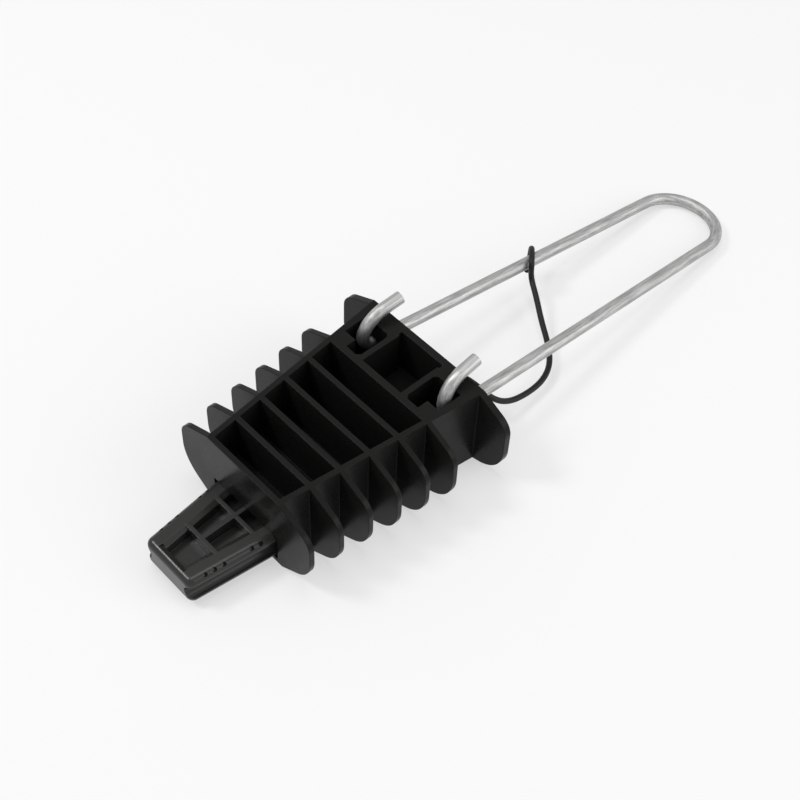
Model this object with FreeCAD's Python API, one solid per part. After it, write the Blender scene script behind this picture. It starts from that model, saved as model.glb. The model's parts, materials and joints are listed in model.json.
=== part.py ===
import FreeCAD, Part
import math
import os

# A wedge dead-end anchor clamp for an aerial cable, lying on its flat underside.
# X runs along the pull, from the span end to the pole end, Y across, Z up.
# The origin is the middle of the front flange's outer face, at the underside.
# All sizes are in millimetres.

Vector = FreeCAD.Vector

# Body shell
BODY_LENGTH = 87.0
BODY_HEIGHT = 36.8
CHANNEL_HALF_WIDTH_FRONT = 17.35
CHANNEL_HALF_WIDTH_POLE = 27.6
WALL = 2.1
FLOOR = 2.1
CEILING = 2.2
CHANNEL_HEIGHT = 13.1

# Plates across the body and the open slots between them
PLATE = 2.1
POLE_PLATE = 2.7
SLOT_COUNT = 5
PLATE_REACH_FRONT = 35.1
PLATE_REACH_POLE = 44.0
PLATE_TOP_DROP = 7.0
PLATE_BOTTOM_RISE_FRONT = 10.0
PLATE_BOTTOM_RISE_POLE = 4.0
PLATE_TOP_CORNER = 8.0
PLATE_BOTTOM_CORNER = 15.5

# Pockets in the block at the pole end
BLOCK_FRONT_WALL = 2.8
POCKET_LENGTH = 15.4
POCKET_END_WALL = 7.8
HOOK_POCKET_INNER = 12.5
HOOK_POCKET_STEP = 19.2
HOOK_SIDE_CLEARANCE = 0.4
HOOK_POCKET_STEP_LENGTH = 4.6
HOOK_POCKET_CHAMFER = 1.4
CENTRE_POCKET_HALF_WIDTH = 10.2
CENTRE_POCKET_END_WALL = 3.0
CENTRE_RELIEF_LENGTH = 2.0
CENTRE_RELIEF_DEPTH = 0.7

# Wire bail
WIRE = 5.0
BAIL_HINGE_HEIGHT = 24.9
BAIL_HALF_SPREAD = 21.9
BAIL_LOOP_RADIUS = 17.5
BAIL_REACH = 170.5
HOOK_LOWER_RADIUS = 6.5
HOOK_OVER_WALL = 3.0
HOOK_BEND_BACK = 3.2
HOOK_ARM_LENGTH = 7.5
HOOK_INWARD_LEAN = 5.0
HOOK_ARM_RISE = 14.0
WIRE_HOLE_CLEARANCE = 1.6

# Wedge
WEDGE_HEIGHT_CLEARANCE = 0.15
WEDGE_SIDE_CLEARANCE = 0.75
WEDGE_NOSE = 34.3
WEDGE_REAR_CENTRE = 30.0
WEDGE_NOSE_CORNER = 3.0
WEDGE_LIP_ROUNDING = 2.7
GROOVE_RADIUS = 3.5
GROOVE_DEPTH = 3.4

# Moulding recesses in the wedge's two faces
RIB_PITCH = 14.6
RIB = 1.7
FIRST_RIB_X = -19.2
RECESS_ROWS = 4
RECESS_NOSE_WALL = 3.8
RECESS_DEPTH = 5.2
RECESS_SIDE_MARGIN = 7.9
RECESS_BEVEL = 1.9
RECESS_BEVEL_DEPTH = 1.1

# Small blind holes in the wedge's rounded upper edges
PIP_HOLE_RADIUS = 0.85
PIP_HOLE_DEPTH = 1.6
PIP_HOLE_PITCH = 3.7
PIP_HOLE_FIRST_X = -27.2
PIP_HOLE_STEPS = (0, 1, 2, 5, 6)
PIP_HOLE_ANGLE = 50.0

# Retaining cord between the body and the bail
CORD = 2.4
CORD_HOLE = 4.6
CORD_HOLE_Y = -6.5
KNOT = 6.0
KNOT_GAP = 0.3
EYE_PLACE = 82.3
EYE_REACH = 4.1
EYE_OFFSETS = (-3.6, -5.2, 3.5, 4.5, -2.0)
EYE_TAIL_INWARDS = 0.4

# Places worked out from the sizes above
POCKET_END = BODY_LENGTH - POCKET_END_WALL
POCKET_START = POCKET_END - POCKET_LENGTH
BLOCK_START = POCKET_START - BLOCK_FRONT_WALL
PITCH = BLOCK_START / SLOT_COUNT
SLOT_LENGTH = PITCH - PLATE
TAPER = (CHANNEL_HALF_WIDTH_POLE - CHANNEL_HALF_WIDTH_FRONT) / BODY_LENGTH
CHANNEL_TOP = FLOOR + CHANNEL_HEIGHT
POCKET_FLOOR = CHANNEL_TOP + CEILING
CENTRE_POCKET_END = BODY_LENGTH - CENTRE_POCKET_END_WALL
HINGE_X = (POCKET_END + BODY_LENGTH) / 2
BAIL_DROOP = math.asin((BAIL_HINGE_HEIGHT - WIRE / 2) / BAIL_REACH)
LOOP_CENTRE = BAIL_REACH - BAIL_LOOP_RADIUS
LEG_LEAN = math.atan((BAIL_HALF_SPREAD - BAIL_LOOP_RADIUS) / LOOP_CENTRE)
HOOK_CROWN = HOOK_BEND_BACK + HOOK_LOWER_RADIUS
HOOK_RISE = BODY_HEIGHT + HOOK_OVER_WALL + WIRE / 2 - BAIL_HINGE_HEIGHT
HOOK_UPPER_RADIUS = HOOK_RISE - HOOK_LOWER_RADIUS
HOOK_REACH_SIDEWAYS = BAIL_HALF_SPREAD + HOOK_CROWN * math.tan(LEG_LEAN) + WIRE / 2
HOOK_POCKET_OUTER = HOOK_REACH_SIDEWAYS + HOOK_SIDE_CLEARANCE
WEDGE_BOTTOM = FLOOR + WEDGE_HEIGHT_CLEARANCE
WEDGE_TOP = CHANNEL_TOP - WEDGE_HEIGHT_CLEARANCE
WEDGE_MIDDLE = (WEDGE_BOTTOM + WEDGE_TOP) / 2
EPS = 1.0


def channel_half_width(x):
    """Half width of the tapered channel, and of the slots, at a place along the body."""
    return CHANNEL_HALF_WIDTH_FRONT + TAPER * x


def wall_half_width(x):
    """Half width over the side walls."""
    return channel_half_width(x) + WALL


def plate_half_width(x):
    """How far the plates reach sideways."""
    return PLATE_REACH_FRONT + (PLATE_REACH_POLE - PLATE_REACH_FRONT) * x / BODY_LENGTH


def wedge_half_width(x):
    """Half width of the wedge, a running clearance inside the channel."""
    return channel_half_width(x) - WEDGE_SIDE_CLEARANCE


def polygon_prism(points, height):
    """A solid above a flat outline of points that share one Z."""
    wire = Part.makePolygon(points + [points[0]])
    return Part.Face(wire).extrude(Vector(0, 0, height))


def tapered_prism(x_start, x_end, half_width, z_bottom, z_top):
    """A straight-sided solid whose half width is a function of X."""
    near, far = half_width(x_start), half_width(x_end)
    points = [
        Vector(x_start, -near, z_bottom),
        Vector(x_end, -far, z_bottom),
        Vector(x_end, far, z_bottom),
        Vector(x_start, near, z_bottom),
    ]
    return polygon_prism(points, z_top - z_bottom)


def rounded_outline(corners):
    """A closed wire through corners, each a point and the radius that rounds it."""
    edges = []
    count = len(corners)
    trimmed = []
    for index, (point, radius) in enumerate(corners):
        before = (corners[index - 1][0] - point).normalize()
        after = (corners[(index + 1) % count][0] - point).normalize()
        half_angle = before.getAngle(after) / 2
        if radius == 0:
            trimmed.append((point, point, point))
            continue
        setback = radius / math.tan(half_angle)
        bisector = (before + after).normalize()
        middle = point + bisector * (radius / math.sin(half_angle) - radius)
        trimmed.append((point + before * setback, middle, point + after * setback))
    for index, (start, middle, end) in enumerate(trimmed):
        if start != end:
            edges.append(Part.Arc(start, middle, end).toShape())
        following = trimmed[(index + 1) % count][0]
        edges.append(Part.LineSegment(end, following).toShape())
    return Part.Wire(edges)


def plate_bottom_rise(x):
    """How far the lobes' lower corner points lie above the underside."""
    change = PLATE_BOTTOM_RISE_POLE - PLATE_BOTTOM_RISE_FRONT
    return PLATE_BOTTOM_RISE_FRONT + change * x / BODY_LENGTH


def cross_plate(x_front, thickness):
    """One plate across the body, with a lobe standing out beyond each side wall."""
    wall = wall_half_width(x_front)
    reach = plate_half_width(x_front)
    low = plate_bottom_rise(x_front)
    high = BODY_HEIGHT - PLATE_TOP_DROP
    corners = [
        (Vector(x_front, -wall, 0), 0),
        (Vector(x_front, wall, 0), 0),
        (Vector(x_front, reach, low), PLATE_BOTTOM_CORNER),
        (Vector(x_front, reach, high), PLATE_TOP_CORNER),
        (Vector(x_front, wall, BODY_HEIGHT), 0),
        (Vector(x_front, -wall, BODY_HEIGHT), 0),
        (Vector(x_front, -reach, high), PLATE_TOP_CORNER),
        (Vector(x_front, -reach, low), PLATE_BOTTOM_CORNER),
    ]
    return Part.Face(rounded_outline(corners)).extrude(Vector(thickness, 0, 0))


def slot_cuts():
    """The deep slots between the plates, open at the top."""
    cuts = []
    for index in range(SLOT_COUNT):
        start = PLATE + index * PITCH
        end = start + SLOT_LENGTH
        cuts.append(tapered_prism(start, end, channel_half_width, POCKET_FLOOR, BODY_HEIGHT + EPS))
    return cuts


def hook_pocket_cut(side):
    """The stepped pocket that takes one hook of the bail."""
    step_x = POCKET_START + HOOK_POCKET_STEP_LENGTH
    chamfer = HOOK_POCKET_CHAMFER
    outline = [
        (POCKET_START, HOOK_POCKET_INNER + chamfer),
        (POCKET_START, HOOK_POCKET_STEP),
        (step_x, HOOK_POCKET_STEP),
        (step_x, HOOK_POCKET_OUTER),
        (POCKET_END, HOOK_POCKET_OUTER),
        (POCKET_END, HOOK_POCKET_INNER + chamfer),
        (POCKET_END - chamfer, HOOK_POCKET_INNER),
        (POCKET_START + chamfer, HOOK_POCKET_INNER),
    ]
    points = [Vector(x, side * y, POCKET_FLOOR) for x, y in outline]
    return polygon_prism(points, BODY_HEIGHT + EPS - POCKET_FLOOR)


def centre_pocket_cut():
    """The large pocket between the two hook pockets, a little wider at its pole end."""
    height = BODY_HEIGHT + EPS - POCKET_FLOOR
    half = CENTRE_POCKET_HALF_WIDTH
    main = Part.makeBox(
        CENTRE_POCKET_END - POCKET_START, 2 * half, height,
        Vector(POCKET_START, -half, POCKET_FLOOR),
    )
    wide = half + CENTRE_RELIEF_DEPTH
    relief = Part.makeBox(
        CENTRE_RELIEF_LENGTH, 2 * wide, height,
        Vector(CENTRE_POCKET_END - CENTRE_RELIEF_LENGTH, -wide, POCKET_FLOOR),
    )
    return main.fuse(relief)


def wire_hole_cut(side):
    """The round hole in the pole end that one bail leg passes through."""
    radius = WIRE / 2 + WIRE_HOLE_CLEARANCE
    start = Vector(POCKET_END - EPS, side * BAIL_HALF_SPREAD, BAIL_HINGE_HEIGHT)
    return Part.makeCylinder(radius, POCKET_END_WALL + 2 * EPS, start, Vector(1, 0, 0))


def cord_hole_cut():
    """The hole in the centre pocket's end wall for the retaining cord."""
    start = Vector(CENTRE_POCKET_END - EPS, CORD_HOLE_Y, BAIL_HINGE_HEIGHT)
    length = CENTRE_POCKET_END_WALL + 2 * EPS
    return Part.makeCylinder(CORD_HOLE / 2, length, start, Vector(1, 0, 0))


def make_body():
    """The moulded body: box-shaped core, seven plates, slots, pockets and channel."""
    core = tapered_prism(0, BODY_LENGTH, wall_half_width, 0, BODY_HEIGHT)
    plates = [cross_plate(index * PITCH, PLATE) for index in range(SLOT_COUNT + 1)]
    plates.append(cross_plate(BODY_LENGTH - POLE_PLATE, POLE_PLATE))
    solid = core.multiFuse(plates)
    cuts = slot_cuts()
    cuts.append(tapered_prism(-EPS, BODY_LENGTH + EPS, channel_half_width, FLOOR, CHANNEL_TOP))
    cuts.append(centre_pocket_cut())
    cuts.append(cord_hole_cut())
    for side in (-1, 1):
        cuts.append(hook_pocket_cut(side))
        cuts.append(wire_hole_cut(side))
    return solid.cut(cuts).removeSplitter()


def wedge_rear_radius():
    """Radius of the round rear end, tangent to both tapered sides."""
    return wedge_half_width(WEDGE_REAR_CENTRE) * math.cos(math.atan(TAPER))


def rear_tangent(side, offset=0.0):
    """Where a tapered side meets the round rear end, moved outwards by an offset."""
    lean = math.atan(TAPER)
    radius = wedge_rear_radius() + offset
    return Vector(
        WEDGE_REAR_CENTRE - radius * math.sin(lean), side * radius * math.cos(lean), 0
    )


def side_point(x, side, offset=0.0):
    """A point on a tapered side of the wedge, moved outwards by an offset."""
    lean = math.atan(TAPER)
    return Vector(
        x - offset * math.sin(lean), side * (wedge_half_width(x) + offset * math.cos(lean)), 0
    )


def wedge_outline():
    """The wedge seen from above: narrow blunt nose, tapered sides, round rear end."""
    nose = -WEDGE_NOSE
    radius = WEDGE_NOSE_CORNER
    corner_angle = (math.pi / 2 + math.atan(TAPER)) / 2
    setback = radius / math.tan(corner_angle)
    rear = Vector(WEDGE_REAR_CENTRE + wedge_rear_radius(), 0, 0)
    arcs = {}
    for side in (-1, 1):
        corner = side_point(nose, side)
        along_nose = Vector(0, -side, 0)
        along_side = (rear_tangent(side) - corner).normalize()
        bisector = (along_nose + along_side).normalize()
        middle = corner + bisector * (radius / math.sin(corner_angle) - radius)
        arcs[side] = (corner + along_nose * setback, middle, corner + along_side * setback)
    edges = [
        Part.LineSegment(arcs[1][0], arcs[-1][0]).toShape(),
        Part.Arc(*arcs[-1]).toShape(),
        Part.LineSegment(arcs[-1][2], rear_tangent(-1)).toShape(),
        Part.Arc(rear_tangent(-1), rear, rear_tangent(1)).toShape(),
        Part.LineSegment(rear_tangent(1), arcs[1][2]).toShape(),
        Part.Arc(arcs[1][2], arcs[1][1], arcs[1][0]).toShape(),
    ]
    return Part.Wire(edges)


def groove_cut():
    """The rounded cable groove along both sides and round the rear end."""
    offset = GROOVE_RADIUS - GROOVE_DEPTH
    start_x = -WEDGE_NOSE - EPS
    points = {}
    for side in (-1, 1):
        points[side] = (side_point(start_x, side, offset), rear_tangent(side, offset))
    rear = Vector(WEDGE_REAR_CENTRE + wedge_rear_radius() + offset, 0, 0)
    path = Part.Wire([
        Part.LineSegment(*points[-1]).toShape(),
        Part.Arc(points[-1][1], rear, points[1][1]).toShape(),
        Part.LineSegment(points[1][1], points[1][0]).toShape(),
    ])
    direction = (points[-1][1] - points[-1][0]).normalize()
    section = Part.Wire(Part.makeCircle(GROOVE_RADIUS, points[-1][0], direction))
    groove = path.makePipeShell([section], True, True)
    groove.translate(Vector(0, 0, WEDGE_MIDDLE))
    return groove


def recess_half_width(x):
    """Half width of the moulding recesses, which follow the wedge's taper."""
    return wedge_half_width(x) - RECESS_SIDE_MARGIN


def recess_row(x_start, x_end, split):
    """One row of recesses in the top face: a bevelled mouth, one or two deep pockets."""
    floor = WEDGE_TOP - RECESS_DEPTH
    row = tapered_prism(x_start, x_end, recess_half_width, floor, WEDGE_TOP + EPS)
    sections = []
    for x in (x_start, x_end):
        inner = recess_half_width(x)
        outer = inner + RECESS_BEVEL
        sections.append(Part.makePolygon([
            Vector(x, -outer, WEDGE_TOP),
            Vector(x, outer, WEDGE_TOP),
            Vector(x, inner, WEDGE_TOP - RECESS_BEVEL_DEPTH),
            Vector(x, -inner, WEDGE_TOP - RECESS_BEVEL_DEPTH),
            Vector(x, -outer, WEDGE_TOP),
        ]))
    row = row.fuse(Part.makeLoft(sections, True, True))
    if split:
        length = x_end - x_start + 2 * EPS
        rib = Part.makeBox(length, RIB, RECESS_DEPTH + 2 * EPS, Vector(x_start - EPS, -RIB / 2, floor))
        row = row.cut(rib)
    return row


def nose_bevel(x_start):
    """The bevel at the nose end of the open tray."""
    half = recess_half_width(x_start) + RECESS_BEVEL
    profile = Part.makePolygon([
        Vector(x_start - RECESS_BEVEL, -half, WEDGE_TOP),
        Vector(x_start, -half, WEDGE_TOP),
        Vector(x_start, -half, WEDGE_TOP - RECESS_BEVEL_DEPTH),
        Vector(x_start - RECESS_BEVEL, -half, WEDGE_TOP),
    ])
    return Part.Face(profile).extrude(Vector(0, 2 * half, 0))


def recess_cuts():
    """All recesses: one open tray behind the nose, then split rows between cross ribs."""
    nose_x = -WEDGE_NOSE + RECESS_NOSE_WALL
    upper = [recess_row(nose_x, FIRST_RIB_X - RIB / 2, False), nose_bevel(nose_x)]
    for index in range(RECESS_ROWS - 1):
        start = FIRST_RIB_X + RIB / 2 + index * RIB_PITCH
        upper.append(recess_row(start, start + RIB_PITCH - RIB, True))
    middle = Vector(0, 0, WEDGE_MIDDLE)
    lower = [row.mirror(middle, Vector(0, 0, 1)) for row in upper]
    return upper + lower


def pip_hole_cuts():
    """The short row of small blind holes in each rounded upper edge."""
    angle = math.radians(PIP_HOLE_ANGLE)
    cuts = []
    for side in (-1, 1):
        outward = Vector(0, side * math.cos(angle), math.sin(angle))
        for step in PIP_HOLE_STEPS:
            x = PIP_HOLE_FIRST_X + step * PIP_HOLE_PITCH
            centre_y = side * (wedge_half_width(x) - WEDGE_LIP_ROUNDING)
            centre = Vector(x, centre_y, WEDGE_TOP - WEDGE_LIP_ROUNDING)
            start = centre + outward * (WEDGE_LIP_ROUNDING - PIP_HOLE_DEPTH)
            cuts.append(Part.makeCylinder(PIP_HOLE_RADIUS, PIP_HOLE_DEPTH + EPS, start, outward))
    return cuts


def is_long_edge(edge):
    """True for the top and bottom edges of the sides and the round rear end."""
    box = edge.BoundBox
    return box.ZLength < 0.01 and box.XLength > WEDGE_NOSE_CORNER * 1.5


def make_wedge():
    """The moulded wedge that squeezes the cable against the channel's side walls."""
    blank = Part.Face(wedge_outline()).extrude(Vector(0, 0, WEDGE_TOP - WEDGE_BOTTOM))
    blank.translate(Vector(0, 0, WEDGE_BOTTOM))
    long_edges = [edge for edge in blank.Edges if is_long_edge(edge)]
    blank = blank.makeFillet(WEDGE_LIP_ROUNDING, long_edges)
    return blank.cut([groove_cut()] + recess_cuts() + pip_hole_cuts())


def bail_point(along, across, above):
    """A point of the drooping bail: along its legs from the hinge line, across, above."""
    cos_droop, sin_droop = math.cos(BAIL_DROOP), math.sin(BAIL_DROOP)
    return Vector(
        HINGE_X + along * cos_droop + above * sin_droop,
        across,
        BAIL_HINGE_HEIGHT - along * sin_droop + above * cos_droop,
    )


def leg_across(along):
    """Distance of a leg's centre line from the middle, along the bail."""
    tangent_along = LOOP_CENTRE + BAIL_LOOP_RADIUS * math.sin(LEG_LEAN)
    tangent_across = BAIL_LOOP_RADIUS * math.cos(LEG_LEAN)
    return tangent_across + (tangent_along - along) * math.tan(LEG_LEAN)


def hook_edges(side):
    """One hook, from its cut end over the wall and back down to the start of the leg."""
    lower, upper = HOOK_LOWER_RADIUS, HOOK_UPPER_RADIUS
    half = math.sqrt(0.5)
    bend = math.radians(90.0 - HOOK_ARM_RISE)
    crown = HOOK_CROWN
    root = bail_point(0, side * leg_across(0), 0)
    leg = (bail_point(BAIL_REACH, side * leg_across(BAIL_REACH), 0) - root).normalize()
    upright = bail_point(0, 0, 1) - bail_point(0, 0, 0)
    inward = leg.cross(upright) * side
    lean = math.radians(HOOK_INWARD_LEAN)
    height = upright * math.cos(lean) + inward * math.sin(lean)

    def place(back, above):
        return root - leg * back + height * above

    def on_upper_bend(angle):
        return place(crown - upper + upper * math.cos(angle), lower + upper * math.sin(angle))

    top = on_upper_bend(bend)
    upper_middle = on_upper_bend(bend / 2)
    arm = height * math.cos(bend) + leg * math.sin(bend)
    arm_tip = top + arm * HOOK_ARM_LENGTH
    side_crown = place(crown, lower)
    lower_middle = place(crown - lower + lower * half, lower - lower * half)
    bottom = place(HOOK_BEND_BACK, 0)
    return [
        Part.LineSegment(arm_tip, top).toShape(),
        Part.Arc(top, upper_middle, side_crown).toShape(),
        Part.Arc(side_crown, lower_middle, bottom).toShape(),
    ]


def bail_path():
    """The bail's centre line from one cut end to the other."""
    start = -HOOK_BEND_BACK * math.cos(LEG_LEAN)
    tangent_along = LOOP_CENTRE + BAIL_LOOP_RADIUS * math.sin(LEG_LEAN)
    tangent = {side: bail_point(tangent_along, side * leg_across(tangent_along), 0) for side in (-1, 1)}
    root = {side: bail_point(start, side * leg_across(start), 0) for side in (-1, 1)}
    edges = hook_edges(-1)
    edges.append(Part.LineSegment(root[-1], tangent[-1]).toShape())
    edges.append(Part.Arc(tangent[-1], bail_point(BAIL_REACH, 0, 0), tangent[1]).toShape())
    edges.append(Part.LineSegment(tangent[1], root[1]).toShape())
    edges.extend(reversed(hook_edges(1)))
    return Part.Wire(Part.__sortEdges__(edges))


def sweep_round(path, diameter):
    """A round bar swept along a path, square to it at its start."""
    first = path.OrderedEdges[0]
    start = path.OrderedVertexes[0].Point
    parameter = first.getParameterByLength(0)
    if (first.valueAt(parameter) - start).Length > diameter / 100:
        parameter = first.LastParameter
    section = Part.Wire(Part.makeCircle(diameter / 2, start, first.tangentAt(parameter)))
    return path.makePipeShell([section], True, True)


def make_bail():
    """The galvanised wire bail with a hook at the end of each leg."""
    return sweep_round(bail_path(), WIRE)


def eye_points():
    """The cord's open eye round the far leg, as corners in a plane skewed along the leg."""
    corners = [
        (EYE_REACH, -EYE_REACH),
        (EYE_REACH, EYE_REACH),
        (-EYE_REACH, EYE_REACH),
        (-EYE_REACH, -EYE_REACH),
        (EYE_TAIL_INWARDS, -EYE_REACH),
    ]
    points = []
    for (inwards, above), offset in zip(corners, EYE_OFFSETS):
        across = leg_across(EYE_PLACE) - inwards
        points.append(bail_point(EYE_PLACE + offset, across, above))
    return points


def cord_points():
    """The cord's route: knot, hole in the body, floor, under the near leg, far leg."""
    knot_centre = CENTRE_POCKET_END - KNOT_GAP - KNOT / 2
    route = [
        Vector(knot_centre + KNOT / 4, CORD_HOLE_Y, BAIL_HINGE_HEIGHT),
        Vector(92.0, CORD_HOLE_Y, BAIL_HINGE_HEIGHT - 0.6),
        Vector(97.5, -13.5, 20.0),
        Vector(101.8, -21.0, 12.6),
        Vector(109.3, -23.0, 6.6),
        Vector(119.7, -23.5, 4.2),
        Vector(129.2, -22.7, 3.9),
        Vector(137.3, -18.8, 3.8),
        Vector(143.8, -11.4, 4.4),
        Vector(150.0, -1.3, 6.0),
        Vector(156.1, 7.7, 8.3),
    ]
    return route + eye_points()


def cord_path(points):
    """Straight runs joined by tangent arcs, each as large as its two runs allow."""
    edges = []
    radii = []
    last_end = points[0]
    for before, point, after in zip(points, points[1:], points[2:]):
        back, ahead = before - point, after - point
        setback = 0.45 * min(back.Length, ahead.Length)
        back, ahead = back.normalize(), ahead.normalize()
        half_angle = back.getAngle(ahead) / 2
        radius = setback * math.tan(half_angle)
        bisector = (back + ahead).normalize()
        middle = point + bisector * (radius / math.sin(half_angle) - radius)
        arc_start, arc_end = point + back * setback, point + ahead * setback
        edges.append(Part.LineSegment(last_end, arc_start).toShape())
        edges.append(Part.Arc(arc_start, middle, arc_end).toShape())
        radii.append(radius)
        last_end = arc_end
    edges.append(Part.LineSegment(last_end, points[-1]).toShape())
    return Part.Wire(edges), radii


def make_cord():
    """The retaining cord as one plain tube."""
    path, radii = cord_path(cord_points())
    tube = sweep_round(path, CORD)
    expected = math.pi * (CORD / 2) ** 2 * path.Length
    print("retaining_cord length", round(path.Length, 1), "mm")
    print("retaining_cord volume over section times length", round(tube.Volume / expected, 4))
    print("retaining_cord radii", [round(radius, 1) for radius in radii])
    return tube


def make_knot():
    """The tied end of the cord inside the centre pocket, with the cord's own hole."""
    start = cord_points()[0]
    centre = start - Vector(KNOT / 4, 0, 0)
    knot = Part.makeSphere(KNOT / 2, centre)
    return knot.cut(Part.makeCylinder(CORD / 2, KNOT, start, Vector(1, 0, 0)))


def export(name, shape):
    """Write one piece to its own file and print what a check needs."""
    print(name, "valid", shape.isValid(), "solids", len(shape.Solids), "volume", round(shape.Volume, 1))
    shape.exportStep("parts/" + name + ".step")


def main():
    """Build and write every piece."""
    os.makedirs("parts", exist_ok=True)
    export("clamp_body", make_body())
    export("cable_wedge", make_wedge())
    export("wire_bail", make_bail())
    export("retaining_cord", make_cord())
    export("cord_knot", make_knot())


main()
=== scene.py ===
"""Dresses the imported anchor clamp: finishes, bail, cord, light, floor and camera."""

from __future__ import annotations

import json
import logging
import math
from dataclasses import dataclass
from enum import Enum

import bpy
from mathutils import Matrix, Vector

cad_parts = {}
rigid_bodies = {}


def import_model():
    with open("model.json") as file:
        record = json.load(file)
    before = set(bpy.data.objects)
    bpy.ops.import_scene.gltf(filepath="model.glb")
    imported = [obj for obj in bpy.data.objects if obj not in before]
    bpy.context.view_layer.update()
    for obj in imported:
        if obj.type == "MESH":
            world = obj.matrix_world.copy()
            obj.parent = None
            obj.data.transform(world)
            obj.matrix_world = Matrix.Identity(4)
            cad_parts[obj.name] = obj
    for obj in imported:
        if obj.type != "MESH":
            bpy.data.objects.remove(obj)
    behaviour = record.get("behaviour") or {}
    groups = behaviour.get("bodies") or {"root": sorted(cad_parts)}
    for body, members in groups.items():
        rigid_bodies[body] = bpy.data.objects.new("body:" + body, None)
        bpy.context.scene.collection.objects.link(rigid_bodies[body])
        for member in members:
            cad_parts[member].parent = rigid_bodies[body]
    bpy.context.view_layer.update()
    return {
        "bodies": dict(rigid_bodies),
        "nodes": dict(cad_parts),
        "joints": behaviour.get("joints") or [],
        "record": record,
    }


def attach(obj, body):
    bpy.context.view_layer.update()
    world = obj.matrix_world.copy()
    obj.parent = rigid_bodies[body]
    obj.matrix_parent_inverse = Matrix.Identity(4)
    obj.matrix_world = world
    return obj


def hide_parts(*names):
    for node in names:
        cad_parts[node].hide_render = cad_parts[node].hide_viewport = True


LOG = logging.getLogger("anchor_clamp")

MM = 0.001

# Camera, at the photograph's viewing angle
IMAGE_SIZE = 800
SENSOR_WIDTH = 36.0
LENS = 65.55
CAMERA_LOCATION = (-0.1694, -0.2448, 0.4349)
CAMERA_RIGHT = (0.73534, -0.67699, 0.03130)
CAMERA_UP = (0.50875, 0.58194, 0.63445)
CAMERA_BACK = (-0.44773, -0.45061, 0.77233)
CLIP_NEAR = 0.01
CLIP_FAR = 20.0

# What the lamps face, in metres
LAMP_TARGET = (0.08, 0.0, 0.01)

# Retaining cord and its route up to the eye, in millimetres
CORD_DIAMETER = 2.4
CORD_ROUTE = (
    (82.2, -6.5, 24.9),
    (92.0, -6.5, 24.3),
    (97.5, -13.5, 20.0),
    (101.8, -21.0, 12.6),
    (109.3, -23.0, 6.6),
    (119.7, -23.5, 4.2),
    (129.2, -22.7, 3.9),
    (137.3, -18.8, 3.8),
    (143.8, -11.4, 4.4),
    (150.0, -1.3, 6.0),
    (156.1, 7.7, 8.3),
)

# Noise of the finishes: its average, how far a range reaches from it, and its roughness
NOISE_AVERAGE = 0.5
NOISE_REACH = 0.2
NOISE_ROUGHNESS = 0.6
STREAK_REACH = 0.18

# Noise features per metre, and for the streaks along the wire's whole run and round it
CLOUD_SCALE = (45.0, 45.0, 45.0)
GRAIN_SCALE = (2600.0, 2600.0, 2600.0)
BLOTCH_SCALE = (90.0, 90.0, 90.0)
STREAK_SCALE = (60.0, 18.0, 1.0)

# Relief of the finishes, with its depths in metres
GRAIN_DEPTH = 0.00008
STREAK_DEPTH = 0.00012
STREAK_STRENGTH = 0.3

# Rays that look for an edge, for its rounded look
EDGE_SAMPLES = 6

# Sky: its brightness as it lights the part and as it is seen, and its colour
SKY_LIT = 0.52
SKY_SEEN = 0.72
WHITE = (1.0, 1.0, 1.0, 1.0)

# Sockets of a colour mix by number, because several share one name
MIX_FACTOR = 0
MIX_FIRST = 6
MIX_SECOND = 7
MIX_RESULT = 2


class Slot(Enum):
    """Material slot names of the scene's own pieces."""

    WIRE = "galvanised_wire"
    CORD = "cord"


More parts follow.
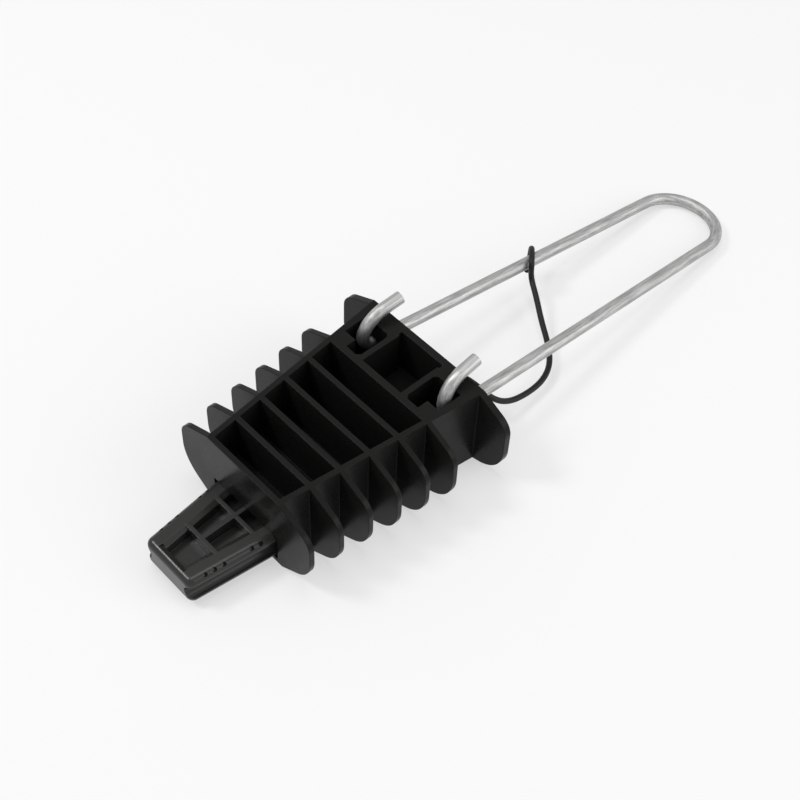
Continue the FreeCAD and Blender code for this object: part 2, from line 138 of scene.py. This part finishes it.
class NodeTree:
    """A small helper that builds the shader nodes of a material or of the world.

    Args:
        owner: The material or world whose node tree is filled.
    """

    def __init__(self, owner: bpy.types.Material | bpy.types.World) -> None:
        owner.use_nodes = True
        self.tree = owner.node_tree
        self.tree.nodes.clear()

    def add(self, kind: str, **values: object) -> bpy.types.Node:
        """Add one node.

        Args:
            kind: Blender's name of the node type.
            **values: Socket values, with spaces of the socket's name as underscores.

        Returns:
            The new node.
        """
        node = self.tree.nodes.new(kind)
        for name, value in values.items():
            node.inputs[name.replace("_", " ")].default_value = value
        return node

    def link(self, source: bpy.types.NodeSocket, target: bpy.types.NodeSocket) -> None:
        """Join an output socket to an input socket."""
        self.tree.links.new(source, target)

    def noise(
        self, scale: tuple[float, float, float], detail: float, space: str = "Object"
    ) -> bpy.types.NodeSocket:
        """Add noise on the object's own coordinates or on its texture coordinates.

        Args:
            scale: Features per unit of the coordinates along X, Y and Z.
            detail: Octaves of the noise.
            space: Which texture coordinates the noise uses, "Object" or "UV".

        Returns:
            The noise's value, which lies about NOISE_AVERAGE.
        """
        place = self.add("ShaderNodeTexCoord")
        mapping = self.add("ShaderNodeMapping", Scale=scale)
        noise = self.add(
            "ShaderNodeTexNoise", Scale=1.0, Detail=detail, Roughness=NOISE_ROUGHNESS
        )
        self.link(place.outputs[space], mapping.inputs["Vector"])
        self.link(mapping.outputs["Vector"], noise.inputs["Vector"])
        return noise.outputs["Fac"]

    def spread(
        self,
        source: bpy.types.NodeSocket,
        low: float,
        high: float,
        reach: float = NOISE_REACH,
    ) -> bpy.types.NodeSocket:
        """Map the middle part of a noise value onto a range.

        Args:
            source: The noise's value.
            low: Result at the low end.
            high: Result at the high end.
            reach: How far from the noise's average the two ends lie.

        Returns:
            The mapped value.
        """
        node = self.add("ShaderNodeMapRange")
        node.inputs["From Min"].default_value = NOISE_AVERAGE - reach
        node.inputs["From Max"].default_value = NOISE_AVERAGE + reach
        node.inputs["To Min"].default_value = low
        node.inputs["To Max"].default_value = high
        self.link(source, node.inputs["Value"])
        return node.outputs["Result"]

    def seen(self, lit: float, seen: float) -> bpy.types.NodeSocket:
        """Give one value to what is seen and another to what only lights.

        Args:
            lit: Value for the rays that light other surfaces.
            seen: Value for what the camera, mirrors and glass show.

        Returns:
            The value.
        """
        rays = self.add("ShaderNodeLightPath")
        level = self.add("ShaderNodeMapRange")
        level.inputs["To Min"].default_value = lit
        level.inputs["To Max"].default_value = seen
        shown = rays.outputs["Is Camera Ray"]
        for name in ("Is Glossy Ray", "Is Transmission Ray"):
            either = self.add("ShaderNodeMath")
            either.operation = "MAXIMUM"
            self.link(shown, either.inputs[0])
            self.link(rays.outputs[name], either.inputs[1])
            shown = either.outputs["Value"]
        self.link(shown, level.inputs["Value"])
        return level.outputs["Result"]


@dataclass(frozen=True)
class Moulding:
    """Satin black plastic of the mouldings and of the cord's sheath.

    Args:
        name: Material name.
        tone: Linear base colour.
        ior: Index of refraction, which sets how strongly the surface mirrors.
        gloss_roughness: Lowest roughness of the surface.
        worn_roughness: Highest roughness of the surface.
        edge_radius: Radius of the rounded look of the edges, in metres.
        grain: Strength of the fine moulded grain.
    """

    name: str
    tone: tuple[float, float, float]
    ior: float
    gloss_roughness: float
    worn_roughness: float
    edge_radius: float
    grain: float

    def build(self) -> bpy.types.Material:
        """Make the material.

        Returns:
            The finished material.
        """
        material = bpy.data.materials.new(self.name)
        nodes = NodeTree(material)
        shader = nodes.add("ShaderNodeBsdfPrincipled", Base_Color=(*self.tone, 1.0), IOR=self.ior)
        output = nodes.add("ShaderNodeOutputMaterial")
        edge = nodes.add("ShaderNodeBevel", Radius=self.edge_radius)
        edge.samples = EDGE_SAMPLES
        bump = nodes.add("ShaderNodeBump", Strength=self.grain, Distance=GRAIN_DEPTH)
        cloud = nodes.noise(CLOUD_SCALE, detail=3.0)
        fine = nodes.noise(GRAIN_SCALE, detail=2.0)
        nodes.link(
            nodes.spread(cloud, self.gloss_roughness, self.worn_roughness),
            shader.inputs["Roughness"],
        )
        nodes.link(fine, bump.inputs["Height"])
        nodes.link(edge.outputs["Normal"], bump.inputs["Normal"])
        nodes.link(bump.outputs["Normal"], shader.inputs["Normal"])
        nodes.link(shader.outputs["BSDF"], output.inputs["Surface"])
        return material


@dataclass(frozen=True)
class DrawnWire:
    """Drawn galvanised wire with fine streaks along its run.

    Args:
        name: Material name.
        dark: Linear colour of the dull streaks.
        bright: Linear colour of the bright streaks.
        metal: Share of bare metal in the surface, against its dull skin.
        gloss_roughness: Lowest roughness of the surface.
        worn_roughness: Highest roughness of the surface.
    """

    name: str
    dark: tuple[float, float, float]
    bright: tuple[float, float, float]
    metal: float
    gloss_roughness: float
    worn_roughness: float

    def build(self) -> bpy.types.Material:
        """Make the material.

        Returns:
            The finished material.
        """
        material = bpy.data.materials.new(self.name)
        nodes = NodeTree(material)
        shader = nodes.add("ShaderNodeBsdfPrincipled", Metallic=self.metal)
        output = nodes.add("ShaderNodeOutputMaterial")
        streak = nodes.noise(STREAK_SCALE, detail=2.0, space="UV")
        blotch = nodes.noise(BLOTCH_SCALE, detail=1.0)
        mix = nodes.add("ShaderNodeMix")
        mix.data_type = "RGBA"
        mix.inputs[MIX_FIRST].default_value = (*self.dark, 1.0)
        mix.inputs[MIX_SECOND].default_value = (*self.bright, 1.0)
        bump = nodes.add("ShaderNodeBump", Strength=STREAK_STRENGTH, Distance=STREAK_DEPTH)
        nodes.link(nodes.spread(streak, 0.0, 1.0, STREAK_REACH), mix.inputs[MIX_FACTOR])
        nodes.link(mix.outputs[MIX_RESULT], shader.inputs["Base Color"])
        nodes.link(
            nodes.spread(blotch, self.gloss_roughness, self.worn_roughness),
            shader.inputs["Roughness"],
        )
        nodes.link(streak, bump.inputs["Height"])
        nodes.link(bump.outputs["Normal"], shader.inputs["Normal"])
        nodes.link(shader.outputs["BSDF"], output.inputs["Surface"])
        return material


BODY_FINISH = Moulding(
    name="black_body",
    tone=(0.0105, 0.0104, 0.0096),
    ior=1.18,
    gloss_roughness=0.22,
    worn_roughness=0.34,
    edge_radius=0.00055,
    grain=0.25,
)
WEDGE_FINISH = Moulding(
    name="black_wedge",
    tone=(0.0220, 0.0219, 0.0203),
    ior=1.40,
    gloss_roughness=0.17,
    worn_roughness=0.31,
    edge_radius=0.00035,
    grain=0.35,
)
CORD_FINISH = Moulding(
    name="black_cord",
    tone=(0.0045, 0.0045, 0.0048),
    ior=1.36,
    gloss_roughness=0.40,
    worn_roughness=0.52,
    edge_radius=0.0001,
    grain=0.6,
)
WIRE_FINISH = DrawnWire(
    name="drawn_wire",
    dark=(0.31, 0.315, 0.307),
    bright=(0.55, 0.558, 0.545),
    metal=0.9,
    gloss_roughness=0.42,
    worn_roughness=0.56,
)


@dataclass(frozen=True)
class Ground:
    """Plain pale floor that the camera and reflections see a little whiter.

    Args:
        tone: Linear grey of the floor.
        roughness: Roughness of the floor.
        half_size: Half the side of the floor, in metres.
        white_share: Share of plain white in what the camera and reflections see.
    """

    tone: float
    roughness: float
    half_size: float
    white_share: float

    def build(self) -> None:
        """Make the floor at the part's underside."""
        material = bpy.data.materials.new("floor_paint")
        nodes = NodeTree(material)
        colour = (self.tone, self.tone, self.tone, 1.0)
        shader = nodes.add(
            "ShaderNodeBsdfPrincipled", Base_Color=colour, Roughness=self.roughness
        )
        white = nodes.add("ShaderNodeEmission", Strength=1.0)
        mix = nodes.add("ShaderNodeMixShader")
        output = nodes.add("ShaderNodeOutputMaterial")
        nodes.link(nodes.seen(0.0, self.white_share), mix.inputs["Fac"])
        nodes.link(shader.outputs["BSDF"], mix.inputs[1])
        nodes.link(white.outputs["Emission"], mix.inputs[2])
        nodes.link(mix.outputs["Shader"], output.inputs["Surface"])
        size = self.half_size
        mesh = bpy.data.meshes.new("floor")
        outline = [(-size, -size, 0), (size, -size, 0), (size, size, 0), (-size, size, 0)]
        mesh.from_pydata(outline, [], [(0, 1, 2, 3)])
        mesh.materials.append(material)
        floor = bpy.data.objects.new("floor", mesh)
        bpy.context.collection.objects.link(floor)


@dataclass(frozen=True)
class SoftLight:
    """One large soft lamp that points at the part.

    Args:
        name: Lamp name.
        location: Place of the lamp, in metres.
        size: Side of the square lamp, in metres.
        power: Power in watts.
    """

    name: str
    location: tuple[float, float, float]
    size: float
    power: float

    def build(self, target: Vector) -> None:
        """Make the lamp.

        Args:
            target: The point the lamp faces.
        """
        data = bpy.data.lights.new(self.name, "AREA")
        data.size = self.size
        data.energy = self.power
        lamp = bpy.data.objects.new(self.name, data)
        lamp.location = self.location
        direction = target - Vector(self.location)
        lamp.rotation_euler = direction.to_track_quat("-Z", "Y").to_euler()
        bpy.context.collection.objects.link(lamp)


FLOOR = Ground(tone=0.84, roughness=0.9, half_size=4.0, white_share=0.5)
LAMPS = (
    SoftLight(name="key", location=(0.68, -1.05, 0.62), size=1.00, power=6.5),
    SoftLight(name="rim", location=(-0.55, 0.60, 1.10), size=0.30, power=6.0),
    SoftLight(name="top", location=(0.10, 0.10, 1.40), size=0.60, power=4.0),
)


@dataclass(frozen=True)
class WireBail:
    """The bent wire as a swept tube, with texture coordinates along its run.

    Its sizes are those of the part's source, in millimetres and radians.

    Args:
        hinge: Middle of the line about which the bail swings.
        diameter: Thickness of the wire.
        reach: Distance from the hinge line to the loop's far end.
        half_spread: Half the distance between the legs at the hinge line.
        loop_radius: Radius of the loop.
        hook_lower_radius: Radius of the bend from a leg up into its hook.
        hook_upper_radius: Radius of the bend over the top of a hook.
        hook_bend_back: Straight run of a leg behind the hinge line.
        hook_arm_length: Length of the straight end of a hook.
        hook_inward_lean: Angle at which the hooks lean towards each other.
        hook_arm_rise: Angle at which the straight end of a hook rises.
        arc_steps: Steps round each bend, and round half of the loop.
        leg_steps: Steps along each straight leg.
        bevel_resolution: How finely the wire is rounded.
    """

    hinge: tuple[float, float, float] = (83.1, 0.0, 24.9)
    diameter: float = 5.0
    reach: float = 170.5
    half_spread: float = 21.9
    loop_radius: float = 17.5
    hook_lower_radius: float = 6.5
    hook_upper_radius: float = 10.9
    hook_bend_back: float = 3.2
    hook_arm_length: float = 7.5
    hook_inward_lean: float = math.radians(5.0)
    hook_arm_rise: float = math.radians(14.0)
    arc_steps: int = 24
    leg_steps: int = 60
    bevel_resolution: int = 14

    @property
    def droop(self) -> float:
        """Angle below level at which the loop's far end lies on the floor."""
        return math.asin((self.hinge[2] - self.diameter / 2) / self.reach)

    @property
    def loop_centre(self) -> float:
        """Distance from the hinge line to the loop's centre."""
        return self.reach - self.loop_radius

    @property
    def leg_lean(self) -> float:
        """Angle at which each leg runs inwards on its way to the loop."""
        return math.atan((self.half_spread - self.loop_radius) / self.loop_centre)

    @property
    def along(self) -> Vector:
        """Direction from the hinge line to the loop."""
        return Vector((math.cos(self.droop), 0.0, -math.sin(self.droop)))

    @property
    def across(self) -> Vector:
        """Direction from the middle to the far leg."""
        return Vector((0.0, 1.0, 0.0))

    @property
    def above(self) -> Vector:
        """Direction square to the bail's plane."""
        return Vector((math.sin(self.droop), 0.0, math.cos(self.droop)))

    def point(self, along: float, across: float, above: float) -> Vector:
        """The point at given distances along and across the bail and above its plane."""
        return Vector(self.hinge) + self.along * along + self.across * across + self.above * above

    def leg_across(self, along: float) -> float:
        """Distance of a leg's centre line from the middle.

        Args:
            along: Distance from the hinge line along the bail.

        Returns:
            The distance.
        """
        lean = self.leg_lean
        tangent_along = self.loop_centre + self.loop_radius * math.sin(lean)
        return self.loop_radius * math.cos(lean) + (tangent_along - along) * math.tan(lean)

    def hook(self, side: int) -> list[Vector]:
        """Centre line of one hook, from its cut end to the start of the leg.

        Args:
            side: 1 for the far leg and -1 for the near one.

        Returns:
            The points in millimetres.
        """
        lean, inward_lean = self.leg_lean, self.hook_inward_lean
        root = self.point(0.0, side * self.leg_across(0.0), 0.0)
        leg = self.along * math.cos(lean) - self.across * side * math.sin(lean)
        inward = -self.along * math.sin(lean) - self.across * side * math.cos(lean)
        height = self.above * math.cos(inward_lean) + inward * math.sin(inward_lean)
        upper_back = self.hook_bend_back + self.hook_lower_radius - self.hook_upper_radius
        bend = math.pi / 2 - self.hook_arm_rise
        places = []
        for step in range(self.arc_steps, 0, -1):
            turn = bend * step / self.arc_steps
            back = upper_back + self.hook_upper_radius * math.cos(turn)
            places.append((back, self.hook_lower_radius + self.hook_upper_radius * math.sin(turn)))
        top_back, top_above = places[0]
        arm_back = -self.hook_arm_length * math.sin(bend)
        arm_above = self.hook_arm_length * math.cos(bend)
        places.insert(0, (top_back + arm_back, top_above + arm_above))
        for step in range(self.arc_steps, -1, -1):
            turn = math.pi / 2 * step / self.arc_steps
            back = self.hook_bend_back + self.hook_lower_radius * math.sin(turn)
            places.append((back, self.hook_lower_radius * (1 - math.cos(turn))))
        return [root - leg * back + height * above for back, above in places]

    def loop(self) -> list[Vector]:
        """Centre line of the round loop, from the near leg to the far leg.

        Returns:
            The points in millimetres.
        """
        points = []
        sweep = math.pi - 2 * self.leg_lean
        for step in range(2 * self.arc_steps + 1):
            turn = self.leg_lean + sweep * step / (2 * self.arc_steps)
            along = self.loop_centre + self.loop_radius * math.sin(turn)
            points.append(self.point(along, -self.loop_radius * math.cos(turn), 0.0))
        return points

    def leg(self, start: Vector, end: Vector) -> list[Vector]:
        """Points along one straight leg, between its two ends, in millimetres."""
        return [start.lerp(end, step / self.leg_steps) for step in range(1, self.leg_steps)]

    def build(self, material: bpy.types.Material) -> bpy.types.Object:
        """Sweep the wire along its centre line and dress it.

        Args:
            material: The wire's finish.

        Returns:
            The bail object.
        """
        near = self.hook(-1)
        loop = self.loop()
        far = self.hook(1)[::-1]
        points = near + self.leg(near[-1], loop[0]) + loop + self.leg(loop[-1], far[0]) + far
        curve = bpy.data.curves.new("bail_path", "CURVE")
        curve.dimensions = "3D"
        curve.bevel_depth = self.diameter / 2 * MM
        curve.bevel_resolution = self.bevel_resolution
        curve.use_fill_caps = True
        spline = curve.splines.new("POLY")
        spline.points.add(len(points) - 1)
        for control, point in zip(spline.points, points):
            control.co = (*(point * MM), 1.0)
        spline.use_smooth = True
        carrier = bpy.data.objects.new("bail_path", curve)
        bpy.context.collection.objects.link(carrier)
        mesh = bpy.data.meshes.new_from_object(carrier)
        bpy.data.objects.remove(carrier)
        mesh.materials.clear()
        mesh.materials.append(material)
        bail = bpy.data.objects.new("bail", mesh)
        bpy.context.collection.objects.link(bail)
        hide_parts("wire_bail")
        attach(bail, "bail")
        return bail


@dataclass(frozen=True)
class RetainingCord:
    """The sheathed cord that ties the bail to the body, with its eye.

    Its sizes are those of the part's source, in millimetres.

    Args:
        bail: The bail whose far leg the eye goes round.
        eye_place: Distance of the eye from the hinge line, along the bail.
        eye_reach: Distance of the eye's corners from the leg, sideways and up or down.
        eye_tail_inwards: Distance of the cord's end from the leg's centre line, inwards.
        eye_offsets: Distance of each corner from the eye's place, along the bail.
        bevel_resolution: How finely the cord is rounded.
        curve_resolution: Steps between two points of the route.
        curve_order: Order of the smooth curve that follows the route.
    """

    bail: WireBail
    eye_place: float = 82.3
    eye_reach: float = 4.1
    eye_tail_inwards: float = 0.4
    eye_offsets: tuple[float, ...] = (-3.6, -5.2, 3.5, 4.5, -2.0)
    bevel_resolution: int = 6
    curve_resolution: int = 16
    curve_order: int = 3

    def route(self) -> list[Vector]:
        """The cord's route with the eye round the far leg.

        Returns:
            The control points in metres.
        """
        reach = self.eye_reach
        eye_corners = (
            (reach, -reach),
            (reach, reach),
            (-reach, reach),
            (-reach, -reach),
            (self.eye_tail_inwards, -reach),
        )
        points = [Vector(point) * MM for point in CORD_ROUTE]
        for (inwards, above), offset in zip(eye_corners, self.eye_offsets):
            across = self.bail.leg_across(self.eye_place) - inwards
            points.append(self.bail.point(self.eye_place + offset, across, above) * MM)
        return points

    def build(self, material: bpy.types.Material) -> bpy.types.Object:
        """Make the cord as a round tube along its route and dress it.

        Args:
            material: The cord's finish.

        Returns:
            The cord object.
        """
        points = self.route()
        curve = bpy.data.curves.new("cord", "CURVE")
        curve.dimensions = "3D"
        curve.bevel_depth = CORD_DIAMETER / 2 * MM
        curve.bevel_resolution = self.bevel_resolution
        curve.use_fill_caps = True
        spline = curve.splines.new("NURBS")
        spline.points.add(len(points) - 1)
        for control, point in zip(spline.points, points):
            control.co = (*point, 1.0)
        spline.order_u = self.curve_order
        spline.use_endpoint_u = True
        spline.resolution_u = self.curve_resolution
        curve.materials.append(material)
        cord = bpy.data.objects.new("cord", curve)
        bpy.context.collection.objects.link(cord)
        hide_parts("retaining_cord")
        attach(cord, "bail")
        return cord


class Clamp:
    """The whole clamp: repainted CAD pieces, the dressed bail and the dressed cord.
    """

    def __init__(self, frame: dict) -> None:
        self.nodes = frame["nodes"]

    def paint(self, node: str, material: bpy.types.Material) -> bpy.types.Object:
        """Give one CAD piece its finish.

        Args:
            node: The piece's node name.
            material: The finish.

        Returns:
            The painted piece.
        """
        piece = self.nodes[node]
        piece.data.materials.clear()
        piece.data.materials.append(material)
        return piece

    def build(self) -> list[bpy.types.Object]:
        """Finish every piece.

        Returns:
            The finished pieces.
        """
        body = BODY_FINISH.build()
        wedge = WEDGE_FINISH.build()
        cord = CORD_FINISH.build()
        wire = WIRE_FINISH.build()
        bail = WireBail()
        return [
            self.paint("clamp_body", body),
            self.paint("cable_wedge", wedge),
            self.paint("cord_knot", cord),
            bail.build(wire),
            RetainingCord(bail).build(cord),
        ]


class Studio:
    """Floor, lamps, sky and camera."""

    def __init__(self) -> None:
        self.scene = bpy.context.scene

    def build_world(self, lit: float, seen: float) -> None:
        """Make an even white sky that the camera and reflections see brighter.

        Args:
            lit: Brightness of the sky as it lights the part.
            seen: Brightness of the sky as it is seen.
        """
        world = bpy.data.worlds.new("studio")
        nodes = NodeTree(world)
        sky = nodes.add("ShaderNodeBackground", Color=WHITE)
        output = nodes.add("ShaderNodeOutputWorld")
        nodes.link(nodes.seen(lit, seen), sky.inputs["Strength"])
        nodes.link(sky.outputs["Background"], output.inputs["Surface"])
        self.scene.world = world

    def build_camera(self) -> None:
        """Place the camera at the photograph's viewing angle."""
        data = bpy.data.cameras.new("camera")
        data.sensor_width = SENSOR_WIDTH
        data.lens = LENS
        data.clip_start = CLIP_NEAR
        data.clip_end = CLIP_FAR
        camera = bpy.data.objects.new("camera", data)
        axes = Matrix((CAMERA_RIGHT, CAMERA_UP, CAMERA_BACK)).transposed()
        camera.matrix_world = Matrix.Translation(CAMERA_LOCATION) @ axes.to_4x4()
        bpy.context.collection.objects.link(camera)
        self.scene.camera = camera

    def build(self) -> None:
        """Make the whole studio."""
        FLOOR.build()
        for lamp in LAMPS:
            lamp.build(Vector(LAMP_TARGET))
        self.build_world(SKY_LIT, SKY_SEEN)
        self.build_camera()
        self.scene.render.resolution_x = IMAGE_SIZE
        self.scene.render.resolution_y = IMAGE_SIZE
        self.scene.view_settings.view_transform = "Standard"


def main() -> None:
    """Build the clamp and its studio, and report each piece."""
    logging.basicConfig(level=logging.INFO)
    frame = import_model()
    for piece in Clamp(frame).build():
        LOG.info("dressed %s", piece.name)
    Studio().build()


if __name__ == "__main__":
    main()
